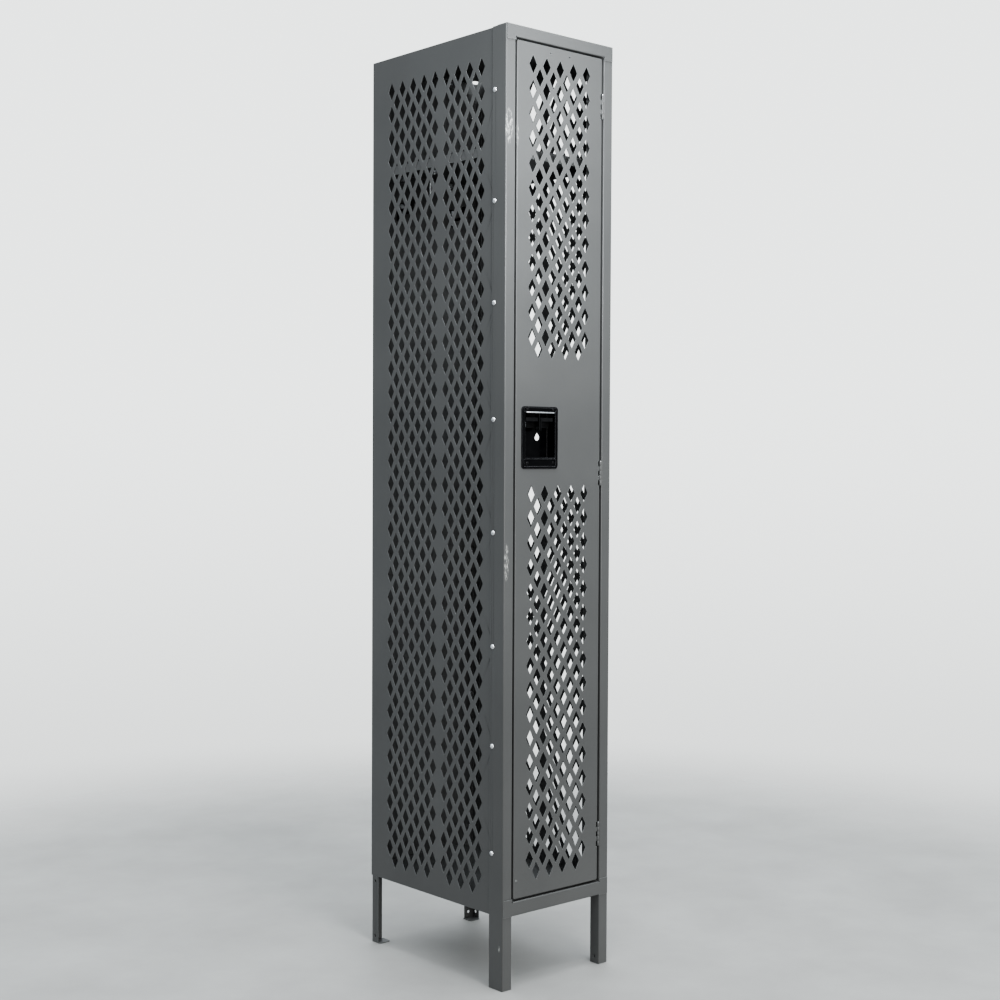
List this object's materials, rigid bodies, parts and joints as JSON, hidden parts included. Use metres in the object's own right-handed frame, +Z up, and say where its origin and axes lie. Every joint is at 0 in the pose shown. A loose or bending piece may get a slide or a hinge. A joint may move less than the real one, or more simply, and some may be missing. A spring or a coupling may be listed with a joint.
{
  "type": "locker cabinet",
  "caption": "Tall single-tier ventilated steel locker on legs, with a perforated side-hinged door, lift-up recessed handle, latch bar, hat shelf and coat hooks.",
  "frame": {"origin": "on the floor, under the middle of the cabinet's outline", "axes": "+X to the cabinet's right as seen from in front, +Y to the back, +Z up; the door faces -Y"},
  "size_m": [0.3106, 0.4572, 1.9812],
  "materials": {
    "cabinet_paint": "grey powder coat, low gloss, faint orange peel",
    "zinc_plate": "bright zinc plate",
    "handle_black": "black, glossy",
    "black_steel": "black painted steel, semi-gloss",
    "guide_nylon": "natural nylon",
    "rubber": "black rubber"
  },
  "bodies": {
    "cabinet": {"frame_upright_left": "cabinet_paint", "frame_upright_right": "cabinet_paint", "frame_header": "cabinet_paint", "frame_sill": "cabinet_paint", "side_panel_left": "cabinet_paint", "side_panel_right": "cabinet_paint", "back_panel": "cabinet_paint", "top_panel": "cabinet_paint", "bottom_panel": "cabinet_paint", "hat_shelf": "cabinet_paint", "rear_post_left": "cabinet_paint", "rear_post_right": "cabinet_paint", "rear_foot_left": "cabinet_paint", "rear_foot_right": "cabinet_paint", "hinge_frame_leaf_top": "cabinet_paint", "hinge_pin_top": "zinc_plate", "jamb_hook_top": "cabinet_paint", "hinge_frame_leaf_middle": "cabinet_paint", "hinge_pin_middle": "zinc_plate", "jamb_hook_middle": "cabinet_paint", "hinge_frame_leaf_bottom": "cabinet_paint", "hinge_pin_bottom": "zinc_plate", "jamb_hook_bottom": "cabinet_paint", "door_bumpers": "rubber", "coat_hook_left": "black_steel", "coat_hook_right": "black_steel", "coat_hook_ceiling": "zinc_plate", "side_bolts_left": "zinc_plate", "side_bolts_right": "zinc_plate", "side_nuts_left": "zinc_plate", "side_nuts_right": "zinc_plate", "back_bolts": "zinc_plate", "back_nuts": "zinc_plate", "ceiling_hook_bolt": "zinc_plate", "ceiling_hook_nut": "zinc_plate"},
    "door": {"door_panel": "cabinet_paint", "door_stiffener": "cabinet_paint", "door_rivet": "cabinet_paint", "handle_cup": "handle_black", "handle_trim": "zinc_plate", "handle_screws": "black_steel", "handle_nuts": "zinc_plate", "padlock_hasp": "black_steel", "latch_guides": "guide_nylon", "hinge_door_leaf_top": "cabinet_paint", "hinge_door_leaf_middle": "cabinet_paint", "hinge_door_leaf_bottom": "cabinet_paint"},
    "latch": {"finger_lift": "black_steel", "latch_bar": "zinc_plate", "latch_link": "zinc_plate", "latch_rivets": "zinc_plate"}
  },
  "joints": [
    {"name": "door_hinge", "type": "hinge", "parent": "cabinet", "child": "door", "pos_m": [0.1234, -0.2251, 1.067], "axis": [0, 0, 1], "range_deg": [0, 120]},
    {"name": "latch_lift", "type": "slide", "parent": "door", "child": "latch", "axis": [0, 0, 1], "range_m": [0, 0.009]}
  ]
}
